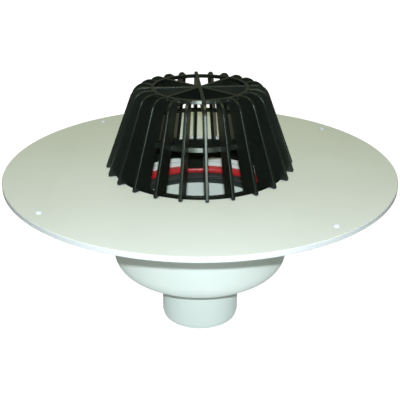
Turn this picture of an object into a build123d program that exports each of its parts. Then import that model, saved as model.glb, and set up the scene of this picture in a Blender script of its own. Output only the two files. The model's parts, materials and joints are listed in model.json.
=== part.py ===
from build123d import *
import math
import os

# Flat roof drain: a PVC flange plate and bowl with a vertical outlet, a push-in seal inside the
# bowl, and a plastic leaf guard that plugs into the bowl's mouth.
# Millimetres. The origin is the centre of the outlet's lower end, and +Z is up along the axis.

# Outlet: a stub for DN 75 pipe, whose neck and collar sit in the bowl's floor
outlet_diameter = 75.0
outlet_wall = 2.6
outlet_length = 56.5            # below the bowl
outlet_chamfer_height = 4.0
outlet_chamfer_depth = 1.1
neck_step = 1.0                 # how much stouter the stub is inside the bowl's floor
collar_width = 3.0
collar_height = 2.0
cement_gap = 0.1                # film of solvent cement between glued round faces

# Bowl
bowl_bore = 160.4
bowl_wall = 3.2
bowl_floor = 4.5
bowl_height = 95.5              # from the flange's underside to the bowl's lower face
bowl_corner_radius = 16.0       # outside, between wall and floor
groove_drop = 27.2              # below the flange's top face
groove_height = 0.9
groove_depth = 0.4

# Flange plate
flange_diameter = 360.0
flange_thickness = 5.0
flange_rim_chamfer = 0.6
seat_depth = 2.5                # recess in its underside that takes the bowl's upper edge
fixing_hole_inset = 12.5        # from the rim to a hole's centre
fixing_hole_diameter = 6.5
fixing_hole_count = 4
fixing_hole_turn = 39.2         # degrees from +X to the first hole

# Push-in seal: a rubber lip ring on a ledge of the bowl, under a rubber ring with a round nose
seal_drop = 38.4                # flange's top face to the lip ring's top
lip_ring_height = 9.0
lip_ring_body = 4.2             # radial thickness of its body
lip_reach = 4.5                 # how far the lips stand in from the body
lip_thickness = 1.8
lip_count = 2
round_ring_height = 6.6
round_ring_width = 6.6
round_ring_nose = 3.1
ledge_width = 3.0
ledge_height = 3.0
rubber_gap = 0.1                # between a rubber ring and the bowl's wall

# Leaf guard
guard_turn = 4.0                # degrees from +X to the first rib
rib_count = 24
ribs_per_spoke = 3
rib_thickness = 3.0
rib_foot_overhang = 7.4         # how far a rib's foot stands out over the flange
rib_foot_depth = 18.4           # from a foot's outer edge to its inner edge
rib_lean = 0.372                # outer edge's inward run for each mm of height
rib_inner_lean = 0.334
rib_edge_chamfer = 0.5
shoulder_radius = 13.0
guard_height = 75.7             # above the flange
foot_round = 1.5
top_ring_width = 3.0
top_ring_height = 3.2
top_ring_drop = 0.5             # below the guard's highest point
spoke_depth = 11.0
hub_radius = 3.6
hoop_bite = 1.6                 # how deep the ribs' inner edges go into the hoop
hoop_width = 2.8
hoop_height = 4.0
hoop_level = 36.0               # its middle, above the flange
skirt_wall = 3.2
skirt_gap = 5.3                 # from the skirt to the ribs' steps in the mouth
skirt_depth = 18.5
step_depth = 4.0                # ribs reach this far into the bowl's mouth
tab_count = 4
tab_width = 17.6
tab_seal_gap = 0.4              # from a tab's tip to the seal below it
tab_sweep_width = 10.0
tab_sweep_drop = 4.0
tab_sweep_radius = 18.0
tab_corner_round = 3.0
nose_width = 10.0
nose_height = 9.0
nose_land = 4.0
mouth_clearance = 0.5           # guard to bore

# Worked out from the above
outlet_radius = outlet_diameter / 2
neck_radius = outlet_radius + neck_step
collar_radius = neck_radius + collar_width
bore_radius = bowl_bore / 2
bowl_radius = bore_radius + bowl_wall
bowl_bottom = outlet_length
floor_top = bowl_bottom + bowl_floor
flange_bottom = bowl_bottom + bowl_height
flange_top = flange_bottom + flange_thickness
bowl_top = flange_bottom + seat_depth
fixing_circle_radius = flange_diameter / 2 - fixing_hole_inset
seal_top = flange_top - seal_drop
ledge_top = seal_top - lip_ring_height
plug_radius = bore_radius - mouth_clearance
skirt_outer_radius = plug_radius - skirt_gap
skirt_inner_radius = skirt_outer_radius - skirt_wall
tab_depth = seal_drop - round_ring_height - tab_seal_gap
rib_foot_radius = bore_radius + rib_foot_overhang
rib_inner_foot_radius = rib_foot_radius - rib_foot_depth
top_ring_top = guard_height - top_ring_drop
top_ring_bottom = top_ring_top - top_ring_height
top_ring_outer_radius = rib_inner_foot_radius - rib_inner_lean * top_ring_bottom
top_ring_middle_radius = top_ring_outer_radius - top_ring_width / 2
hoop_bottom = hoop_level - hoop_height / 2
hoop_top = hoop_level + hoop_height / 2


def turned(*edges):
    """A closed outline in radius and height, turned about the axis."""
    return revolve(Plane.XZ * make_face(edges), Axis.Z)


def tube(outer_radius, inner_radius, bottom, top):
    """A round ring with square edges."""
    outer = Cylinder(outer_radius, top - bottom, align=(Align.CENTER, Align.CENTER, Align.MIN))
    inner = Cylinder(inner_radius, top - bottom, align=(Align.CENTER, Align.CENTER, Align.MIN))
    return Pos(0, 0, bottom) * (outer - inner)


def fin(outline, thickness):
    """An upright radial plate through the axis plane y = 0."""
    return extrude(Plane.XZ * outline, thickness / 2, both=True)


def around(shape, count, turn):
    """Copies of a shape, evenly spaced about the axis."""
    return [Rot(0, 0, turn + 360 * i / count) * shape for i in range(count)]


def make_outlet_spigot():
    """Pipe stub: chamfered lower end, a stouter neck, and a collar that hangs in the floor."""
    inner = outlet_radius - outlet_wall
    outline = Polyline(
        (inner, 0),
        (outlet_radius - outlet_chamfer_depth, 0),
        (outlet_radius, outlet_chamfer_height),
        (outlet_radius, bowl_bottom),
        (neck_radius, bowl_bottom),
        (neck_radius, floor_top - collar_height),
        (collar_radius, floor_top - collar_height),
        (collar_radius, floor_top),
        (inner, floor_top),
        close=True,
    )
    return turned(outline)


def make_drain_bowl():
    """Round bowl: stepped hole in the floor, ledge for the seal, fine groove near the mouth."""
    hole = neck_radius + cement_gap
    recess = collar_radius + cement_gap
    recess_floor = floor_top - collar_height
    inner_corner = bowl_corner_radius - bowl_wall
    groove_middle = flange_top - groove_drop
    outer = [
        Line((hole, bowl_bottom), (bowl_radius - bowl_corner_radius, bowl_bottom)),
        RadiusArc(
            (bowl_radius - bowl_corner_radius, bowl_bottom),
            (bowl_radius, bowl_bottom + bowl_corner_radius),
            -bowl_corner_radius,
        ),
        Line((bowl_radius, bowl_bottom + bowl_corner_radius), (bowl_radius, bowl_top)),
    ]
    wall = Polyline(
        (bowl_radius, bowl_top),
        (bore_radius, bowl_top),
        (bore_radius, groove_middle + groove_height / 2),
        (bore_radius + groove_depth, groove_middle),
        (bore_radius, groove_middle - groove_height / 2),
        (bore_radius, ledge_top),
        (bore_radius - ledge_width, ledge_top),
        (bore_radius, ledge_top - ledge_height),
        (bore_radius, floor_top + inner_corner),
    )
    inner = [
        RadiusArc(
            (bore_radius, floor_top + inner_corner),
            (bore_radius - inner_corner, floor_top),
            inner_corner,
        ),
        Polyline(
            (bore_radius - inner_corner, floor_top),
            (recess, floor_top),
            (recess, recess_floor),
            (hole, recess_floor),
            (hole, bowl_bottom),
        ),
    ]
    return turned(*outer, wall, *inner)


def make_roof_flange():
    """Round plate with a broken rim, a seat for the bowl, and holes for the roof fixings."""
    plate = Cylinder(
        flange_diameter / 2, flange_thickness, align=(Align.CENTER, Align.CENTER, Align.MIN)
    )
    plate = chamfer(plate.edges().filter_by(GeomType.CIRCLE), flange_rim_chamfer)
    mouth = Cylinder(bore_radius, 3 * flange_thickness)
    seat = Cylinder(bowl_radius + cement_gap, 2 * seat_depth)
    hole = Pos(fixing_circle_radius, 0, 0) * Cylinder(
        fixing_hole_diameter / 2, 3 * flange_thickness
    )
    holes = around(hole, fixing_hole_count, fixing_hole_turn)
    return Pos(0, 0, flange_bottom) * (plate - mouth - seat - holes)


def make_lip_ring():
    """Rubber ring whose lips slope inwards and down, to grip a pipe that is pushed in."""
    outer = bore_radius - rubber_gap
    inner = outer - lip_ring_body
    ring = tube(outer, inner, ledge_top, seal_top)
    pitch = lip_ring_height / lip_count
    drop = pitch - lip_thickness
    for i in range(lip_count):
        top = seal_top - i * pitch
        lip = Polyline(
            (inner + 1, top),
            (inner, top),
            (inner - lip_reach, top - drop),
            (inner - lip_reach, top - pitch),
            (inner, top - drop),
            (inner + 1, top - drop),
            close=True,
        )
        ring += turned(lip)
    return ring


def make_round_ring():
    """Rubber ring with a round nose, and a flat back and foot."""
    outer = bore_radius - rubber_gap
    middle = (outer - round_ring_width / 2, seal_top + round_ring_height / 2)
    section = Pos(*middle) * Rectangle(round_ring_width, round_ring_height)
    nose_corners = section.vertices().group_by(Axis.X)[0]
    return revolve(Plane.XZ * fillet(nose_corners, round_ring_nose), Axis.Z)


def leaning_ring(bite, width, bottom, top):
    """A ring whose walls lean with the ribs' inner edges, which go this deep into it."""
    low_radius = rib_inner_foot_radius - rib_inner_lean * bottom + bite
    high_radius = rib_inner_foot_radius - rib_inner_lean * top + bite
    outline = Polyline(
        (low_radius, bottom),
        (high_radius, top),
        (high_radius - width, top),
        (low_radius - width, bottom),
        close=True,
    )
    return turned(outline)


def rib_outline():
    """Side view of one rib: straight leaning edges, a round shoulder and crown, and a foot."""
    slope = math.hypot(1, rib_lean)
    centre_z = guard_height - shoulder_radius
    centre_r = rib_foot_radius - rib_lean * centre_z - shoulder_radius * slope
    tangent_r = centre_r + shoulder_radius / slope
    tangent = (tangent_r, (rib_foot_radius - tangent_r) / rib_lean)
    peak = (centre_r, guard_height)
    ring_corner = (top_ring_middle_radius, top_ring_top)
    shoulder = RadiusArc(peak, tangent, shoulder_radius)
    crown = TangentArc(peak, ring_corner, tangent=(-1, 0))
    rest = Polyline(
        tangent,
        (rib_foot_radius, 0),
        (plug_radius, 0),
        (plug_radius, -step_depth),
        (skirt_outer_radius - skirt_wall / 2, -2 * step_depth),
        (skirt_inner_radius, -2 * step_depth),
        (rib_inner_foot_radius, 0),
        (top_ring_outer_radius, top_ring_bottom),
        (top_ring_middle_radius, top_ring_bottom),
        ring_corner,
    )
    outline = make_face([crown, shoulder, rest])
    return fillet(outline.vertices().sort_by(Axis.X)[-1], foot_round)


def is_outer_rib_edge(edge):
    """The long edges down a rib's outside, and round its shoulder."""
    middle = edge.position_at(0.5)
    on_side = abs(middle.Y) > rib_thickness / 4
    outer_radius_here = rib_foot_radius - rib_lean * middle.Z
    return on_side and middle.Z > foot_round and middle.X > outer_radius_here - shoulder_radius


def make_rib():
    """One rib, with its outer corners broken."""
    rib = fin(rib_outline(), rib_thickness)
    return chamfer(rib.edges().filter_by(is_outer_rib_edge), rib_edge_chamfer)


def make_spoke():
    """A rib's straight run over the top, from the shoulder to the hub."""
    length = top_ring_outer_radius + top_ring_width
    outline = Pos(length / 2, top_ring_top - spoke_depth / 2) * Rectangle(length, spoke_depth)
    return fin(outline, rib_thickness)


def tab_outline():
    """Front view of one tab, widening into the skirt by a hollow sweep on each side."""
    half = tab_width / 2
    sweep_end = half + tab_sweep_width
    sweep_foot = -skirt_depth - tab_sweep_drop
    left_sweep = RadiusArc((-sweep_end, -skirt_depth), (-half, sweep_foot), tab_sweep_radius)
    right_sweep = RadiusArc((half, sweep_foot), (sweep_end, -skirt_depth), tab_sweep_radius)
    tip = Polyline((-half, sweep_foot), (-half, -tab_depth), (half, -tab_depth), (half, sweep_foot))
    root = Polyline((sweep_end, -skirt_depth), (sweep_end, 0), (-sweep_end, 0),
                    (-sweep_end, -skirt_depth))
    outline = make_face([left_sweep, tip, right_sweep, root])
    return fillet(outline.vertices().group_by(Axis.Y)[0], tab_corner_round)


def make_skirt():
    """Thin round wall inside the bowl's mouth, cut away between its tabs."""
    wall = tube(skirt_outer_radius, skirt_inner_radius, -tab_depth, 0)
    cut = tube(skirt_outer_radius + 1, skirt_inner_radius - 1, -tab_depth - 1, -skirt_depth)
    tab = extrude(Plane.YZ * tab_outline(), skirt_outer_radius + 2)
    return wall - (cut - around(tab, tab_count, guard_turn))


def make_nose():
    """Wedge on a tab's outer face."""
    root = skirt_outer_radius - skirt_wall / 2
    outline = Polyline(
        (root, -tab_depth),
        (skirt_outer_radius, -tab_depth),
        (plug_radius, -tab_depth + mouth_clearance + 1),
        (plug_radius, -tab_depth + nose_land),
        (skirt_outer_radius, -tab_depth + nose_height),
        (root, -tab_depth + nose_height),
        close=True,
    )
    return fin(make_face(outline), nose_width)


def make_leaf_guard():
    """One moulding: ribs that lean in to a ring, spokes to a hub, a hoop, a skirt and tabs."""
    top_ring = leaning_ring(0, top_ring_width, top_ring_bottom, top_ring_top)
    hoop = leaning_ring(hoop_bite, hoop_width, hoop_bottom, hoop_top)
    hub = Pos(0, 0, top_ring_top - spoke_depth / 2) * Cylinder(hub_radius, spoke_depth)
    ribs = around(make_rib(), rib_count, guard_turn)
    spokes = around(make_spoke(), rib_count // ribs_per_spoke, guard_turn)
    noses = around(make_nose(), tab_count, guard_turn)
    guard = make_skirt() + [top_ring, hoop, hub, *ribs, *spokes, *noses]
    return Pos(0, 0, flange_top) * guard


nodes = {
    "outlet_spigot": make_outlet_spigot(),
    "drain_bowl": make_drain_bowl(),
    "roof_flange": make_roof_flange(),
    "lip_seal": make_lip_ring(),
    "seal_ring": make_round_ring(),
    "leaf_guard": make_leaf_guard(),
}

os.makedirs("parts", exist_ok=True)
for name, shape in nodes.items():
    export_step(shape, f"parts/{name}.step")
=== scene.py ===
import json
import math

import bpy
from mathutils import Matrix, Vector


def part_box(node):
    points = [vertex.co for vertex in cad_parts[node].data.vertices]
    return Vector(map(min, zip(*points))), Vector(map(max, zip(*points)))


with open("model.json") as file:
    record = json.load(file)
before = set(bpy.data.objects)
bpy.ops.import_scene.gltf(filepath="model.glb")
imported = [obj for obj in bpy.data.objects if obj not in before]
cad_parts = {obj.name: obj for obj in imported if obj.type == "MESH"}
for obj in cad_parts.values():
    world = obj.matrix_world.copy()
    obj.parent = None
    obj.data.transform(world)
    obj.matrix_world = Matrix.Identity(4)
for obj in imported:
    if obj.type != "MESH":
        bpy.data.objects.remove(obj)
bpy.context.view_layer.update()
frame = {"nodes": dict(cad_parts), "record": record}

# Metres. The drain stands on the floor at z = 0, on its spigot, and +Z is up.
FLANGE_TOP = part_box("roof_flange")[1].z

# Camera: in front of the drain, a little above the leaf guard
CAMERA_DISTANCE = 0.6461
CAMERA_ABOVE_FLANGE = 0.2533
CAMERA_DOWN = math.radians(24.11)
CAMERA_LENS = 66.8          # millimetres
CAMERA_SENSOR = 36          # millimetres
CAMERA_CLIP_START = 0.01

# Light: a small lamp over the camera, a large warm one high over the drain, and a dim room that is
# brighter behind the drain than in front of it. The floor and the backdrop are burnt out to white.
LAMP_ABOVE_CAMERA = 0.032
LAMP_SIZE = 0.012
LAMP_POWER = 4.45
LAMP_COLOUR = (0.91, 1.0, 1.07)
OVERHEAD_HEIGHT = 1.15
OVERHEAD_SIZE = 0.5
OVERHEAD_POWER = 4.15
OVERHEAD_COLOUR = (0.96, 1.0, 0.62)
ROOM_FRONT = (0.030, 0.031, 0.020)
ROOM_BACK = (0.175, 0.185, 0.135)
ROOM_TURN = (0.0, 0.6)      # front to back, as the Y of a direction
FLOOR_SIZE = 40
FLOOR_COLOUR = (0.70, 0.70, 0.70)
FLOOR_ROUGHNESS = 0.8
WHITE_LEVEL = 1.2

# Materials
NOISE_ROUGHNESS = 0.55
NOISE_RANGE = (0.3, 0.7)    # the part of a noise's values that most of a surface has
EDGE_ROUND = 0.0007         # how round the guard's edges look
EDGE_SAMPLES = 6
PVC_SPECULAR = 0.5
PVC_DIFFUSE_ROUGHNESS = 0.25

# Painted shade: a darker line painted round the fine groove near the bowl's mouth, standing in for
# the shade in the groove
GROOVE_DROP = 0.0272        # below the flange's top face
GROOVE_HEIGHT = FLANGE_TOP - GROOVE_DROP
GROOVE_REACH = 0.0008       # half the line's width
GROOVE_SHADE_SHARE = 0.65         # how much of the colour is left in its middle


def make_material(name, slot):
    """An empty node material with a Principled shader, on the slot's CAD nodes."""
    material = bpy.data.materials.new(name)
    material.use_nodes = True
    for entry in frame["record"]["subparts"]:
        if entry["material_slot"] == slot:
            node = frame["nodes"][entry["node"]]
            node.data.materials.clear()
            node.data.materials.append(material)
    return material


def add_node(material, kind, **inputs):
    """A shader node with some of its inputs set."""
    node = material.node_tree.nodes.new(kind)
    for key, value in inputs.items():
        node.inputs[key.replace("_", " ")].default_value = value
    return node


def object_coordinates(material, stretch=(1, 1, 1)):
    """The piece's own coordinates, stretched."""
    source = add_node(material, "ShaderNodeTexCoord")
    mapping = add_node(material, "ShaderNodeMapping", Scale=stretch)
    material.node_tree.links.new(source.outputs["Object"], mapping.inputs["Vector"])
    return mapping.outputs["Vector"]


def noise(material, scale, detail=4.0, stretch=(1, 1, 1)):
    """Noise over the piece, as a value about 0.5, with about this many waves in a metre."""
    settings = dict(Scale=scale, Detail=detail, Roughness=NOISE_ROUGHNESS)
    node = add_node(material, "ShaderNodeTexNoise", **settings)
    material.node_tree.links.new(object_coordinates(material, stretch), node.inputs["Vector"])
    return node.outputs["Fac"]


def ramp(material, value, low, high):
    """A colour between low and high, picked by a value."""
    node = material.node_tree.nodes.new("ShaderNodeValToRGB")
    node.color_ramp.elements[0].position = NOISE_RANGE[0]
    node.color_ramp.elements[0].color = (*low, 1)
    node.color_ramp.elements[1].position = NOISE_RANGE[1]
    node.color_ramp.elements[1].color = (*high, 1)
    material.node_tree.links.new(value, node.inputs["Fac"])
    return node.outputs["Color"]


def between(material, value, low, high):
    """A number between low and high, picked by a value."""
    node = add_node(material, "ShaderNodeMapRange")
    node.inputs["From Min"].default_value = NOISE_RANGE[0]
    node.inputs["From Max"].default_value = NOISE_RANGE[1]
    node.inputs["To Min"].default_value = low
    node.inputs["To Max"].default_value = high
    material.node_tree.links.new(value, node.inputs["Value"])
    return node.outputs["Result"]


def painted_shade_line(material, colour, height, reach, share):
    """The colour, with a line of painted shade round the piece at this height, darkened to a share
    of it.
    """
    apart = add_node(material, "ShaderNodeSeparateXYZ")
    above = material.node_tree.nodes.new("ShaderNodeMath")
    above.operation = "SUBTRACT"
    above.inputs[1].default_value = height
    distance = material.node_tree.nodes.new("ShaderNodeMath")
    distance.operation = "ABSOLUTE"
    brightness = add_node(material, "ShaderNodeMapRange")
    brightness.inputs["From Max"].default_value = reach
    brightness.inputs["To Min"].default_value = share
    mix = material.node_tree.nodes.new("ShaderNodeMix")
    mix.data_type = "RGBA"
    mix.blend_type = "MULTIPLY"
    mix.inputs["Factor"].default_value = 1
    links = material.node_tree.links
    links.new(object_coordinates(material), apart.inputs["Vector"])
    links.new(apart.outputs["Z"], above.inputs[0])
    links.new(above.outputs["Value"], distance.inputs[0])
    links.new(distance.outputs["Value"], brightness.inputs["Value"])
    links.new(colour, mix.inputs["A"])
    links.new(brightness.outputs["Result"], mix.inputs["B"])
    return mix.outputs["Result"]


def rounded_edges(material, radius):
    """Normals that turn smoothly over sharp edges, so that the edges catch the light."""
    node = material.node_tree.nodes.new("ShaderNodeBevel")
    node.samples = EDGE_SAMPLES
    node.inputs["Radius"].default_value = radius
    return node.outputs["Normal"]


def bump(material, heights, normal=None):
    """Bumps laid one on another: each is a value, a strength and a depth in metres."""
    for value, strength, depth in heights:
        node = add_node(material, "ShaderNodeBump", Strength=strength, Distance=depth)
        material.node_tree.links.new(value, node.inputs["Height"])
        if normal is not None:
            material.node_tree.links.new(normal, node.inputs["Normal"])
        normal = node.outputs["Normal"]
    return normal


def finish_material(material, colour, roughness, normal, **constants):
    """Joins colour, roughness and bump to the shader, and sets what is the same all over."""
    shader = material.node_tree.nodes["Principled BSDF"]
    links = material.node_tree.links
    links.new(colour, shader.inputs["Base Color"])
    links.new(roughness, shader.inputs["Roughness"])
    links.new(normal, shader.inputs["Normal"])
    for key, value in constants.items():
        shader.inputs[key.replace("_", " ")].default_value = value


def make_pvc_sheet():
    """Calendered PVC sheet: nearly matt, with faint rolling streaks."""
    m = make_material("pvc_sheet", "pvc_sheet")
    cloud = noise(m, 9)
    streak = noise(m, 60, stretch=(1, 0.06, 1))
    grain = noise(m, 1400, detail=2)
    colour = ramp(m, cloud, (0.722, 0.748, 0.742), (0.762, 0.788, 0.787))
    roughness = between(m, streak, 0.42, 0.52)
    normal = bump(m, [(grain, 0.10, 0.00012), (streak, 0.08, 0.0002)])
    finish_material(m, colour, roughness, normal, Specular_IOR_Level=0.45)


def finish_bowl_pvc(material, colour, roughness, normal):
    """The shine of the bowl's and the spigot's PVC."""
    finish_material(
        material,
        colour,
        roughness,
        normal,
        Specular_IOR_Level=PVC_SPECULAR,
        Diffuse_Roughness=PVC_DIFFUSE_ROUGHNESS,
    )


def make_pvc_moulded():
    """Moulded PVC: smoother, with a slight orange peel, and a line of painted shade in the groove
    near the mouth.
    """
    m = make_material("pvc_moulded", "pvc_moulded")
    cloud = noise(m, 14)
    peel = noise(m, 380, detail=2)
    colour = ramp(m, cloud, (0.720, 0.775, 0.715), (0.760, 0.810, 0.755))
    # painted shade: the groove's line is darkened in the colour, standing in for the shade in that
    # recess
    colour = painted_shade_line(m, colour, GROOVE_HEIGHT, GROOVE_REACH, GROOVE_SHADE_SHARE)
    roughness = between(m, cloud, 0.28, 0.36)
    normal = bump(m, [(peel, 0.08, 0.0002)])
    finish_bowl_pvc(m, colour, roughness, normal)


def make_pvc_pipe():
    """Extruded PVC pipe, with fine lines along it."""
    m = make_material("pvc_pipe", "pvc_pipe")
    cloud = noise(m, 18)
    lines = noise(m, 420, detail=3, stretch=(1, 1, 0.03))
    colour = ramp(m, cloud, (0.735, 0.800, 0.735), (0.775, 0.835, 0.775))
    roughness = between(m, lines, 0.30, 0.38)
    normal = bump(m, [(lines, 0.10, 0.00015)])
    finish_bowl_pvc(m, colour, roughness, normal)


def make_black_plastic():
    """Moulded black plastic with a satin skin and faint flow marks."""
    m = make_material("black_plastic", "black_plastic")
    cloud = noise(m, 35)
    flow = noise(m, 120, detail=3, stretch=(1, 1, 0.2))
    grain = noise(m, 1800, detail=2)
    colour = ramp(m, cloud, (0.006, 0.008, 0.006), (0.009, 0.011, 0.009))
    roughness = between(m, flow, 0.31, 0.35)
    edges = rounded_edges(m, EDGE_ROUND)
    normal = bump(m, [(grain, 0.06, 0.0001), (flow, 0.04, 0.0002)], edges)
    shine = dict(Specular_IOR_Level=0.38, Specular_Tint=(0.88, 1.0, 0.84, 1))
    finish_material(m, colour, roughness, normal, **shine)


def make_red_rubber():
    """Smooth red rubber."""
    m = make_material("red_rubber", "red_rubber")
    cloud = noise(m, 60)
    grain = noise(m, 1500, detail=2)
    colour = ramp(m, cloud, (0.48, 0.016, 0.018), (0.58, 0.023, 0.027))
    roughness = between(m, cloud, 0.38, 0.46)
    normal = bump(m, [(grain, 0.10, 0.0001)])
    finish_material(m, colour, roughness, normal, Specular_IOR_Level=0.6)


def make_black_rubber():
    """Dull black rubber, with a bloom."""
    m = make_material("black_rubber", "black_rubber")
    bloom = noise(m, 45)
    grain = noise(m, 1600, detail=3)
    colour = ramp(m, bloom, (0.026, 0.034, 0.031), (0.040, 0.048, 0.044))
    roughness = between(m, bloom, 0.40, 0.50)
    normal = bump(m, [(grain, 0.2, 0.0001)])
    finish_material(m, colour, roughness, normal, Specular_IOR_Level=0.5)


def seen_as_white(tree, lit, output, strength):
    """Plain white to the camera, and as lit to everything else."""
    path = tree.nodes.new("ShaderNodeLightPath")
    white = tree.nodes.new("ShaderNodeEmission")
    white.inputs["Strength"].default_value = strength
    mix = tree.nodes.new("ShaderNodeMixShader")
    tree.links.new(path.outputs["Is Camera Ray"], mix.inputs[0])
    tree.links.new(lit, mix.inputs[1])
    tree.links.new(white.outputs["Emission"], mix.inputs[2])
    tree.links.new(mix.outputs["Shader"], output)


def make_floor():
    """Pale floor under the drain, burnt out to white like the surroundings."""
    bpy.ops.mesh.primitive_plane_add(size=FLOOR_SIZE, location=(0, 0, 0))
    floor = bpy.context.object
    floor.name = "floor"
    material = bpy.data.materials.new("floor_white")
    material.use_nodes = True
    tree = material.node_tree
    shader = tree.nodes["Principled BSDF"]
    shader.inputs["Base Color"].default_value = (*FLOOR_COLOUR, 1)
    shader.inputs["Roughness"].default_value = FLOOR_ROUGHNESS
    output = tree.nodes["Material Output"].inputs["Surface"]
    seen_as_white(tree, shader.outputs["BSDF"], output, WHITE_LEVEL)
    floor.data.materials.append(material)


def make_world():
    """The dim room, with a backdrop that is white to the camera."""
    world = bpy.data.worlds.new("studio")
    world.use_nodes = True
    tree = world.node_tree
    direction = tree.nodes.new("ShaderNodeTexCoord")
    parts = tree.nodes.new("ShaderNodeSeparateXYZ")
    turn = tree.nodes.new("ShaderNodeMapRange")
    turn.inputs["From Min"].default_value = ROOM_TURN[0]
    turn.inputs["From Max"].default_value = ROOM_TURN[1]
    fade = tree.nodes.new("ShaderNodeMix")
    fade.data_type = "RGBA"
    fade.inputs["A"].default_value = (*ROOM_FRONT, 1)
    fade.inputs["B"].default_value = (*ROOM_BACK, 1)
    room = tree.nodes["Background"]
    tree.links.new(direction.outputs["Generated"], parts.inputs["Vector"])
    tree.links.new(parts.outputs["Y"], turn.inputs["Value"])
    tree.links.new(turn.outputs["Result"], fade.inputs["Factor"])
    tree.links.new(fade.outputs["Result"], room.inputs["Color"])
    output = tree.nodes["World Output"].inputs["Surface"]
    seen_as_white(tree, room.outputs["Background"], output, WHITE_LEVEL)
    bpy.context.scene.world = world


def add_area(name, place, target, size, power, colour):
    """A square soft light at a place, turned to a target."""
    light = bpy.data.lights.new(name, "AREA")
    light.size = size
    light.energy = power
    light.color = colour
    holder = bpy.data.objects.new(name, light)
    holder.location = place
    direction = Vector(target) - Vector(place)
    holder.rotation_euler = direction.to_track_quat("-Z", "Y").to_euler()
    bpy.context.scene.collection.objects.link(holder)


def make_lights():
    """The lamp over the camera and the one over the drain."""
    lamp_height = FLANGE_TOP + CAMERA_ABOVE_FLANGE + LAMP_ABOVE_CAMERA
    lamp_place = (0, -CAMERA_DISTANCE, lamp_height)
    target = (0, 0, FLANGE_TOP)
    add_area("camera_lamp", lamp_place, target, LAMP_SIZE, LAMP_POWER, LAMP_COLOUR)
    overhead_place = (0, 0, OVERHEAD_HEIGHT)
    add_area("overhead", overhead_place, target, OVERHEAD_SIZE, OVERHEAD_POWER, OVERHEAD_COLOUR)


def make_camera():
    """The camera, level and square to the drain's front."""
    data = bpy.data.cameras.new("camera")
    data.lens = CAMERA_LENS
    data.sensor_width = CAMERA_SENSOR
    data.clip_start = CAMERA_CLIP_START
    camera = bpy.data.objects.new("camera", data)
    camera.location = (0, -CAMERA_DISTANCE, FLANGE_TOP + CAMERA_ABOVE_FLANGE)
    camera.rotation_euler = (math.pi / 2 - CAMERA_DOWN, 0, 0)
    bpy.context.scene.collection.objects.link(camera)
    bpy.context.scene.camera = camera


make_camera()
make_pvc_sheet()
make_pvc_moulded()
make_pvc_pipe()
make_black_plastic()
make_red_rubber()
make_black_rubber()
make_floor()
make_world()
make_lights()
bpy.context.scene.view_settings.view_transform = "Standard"
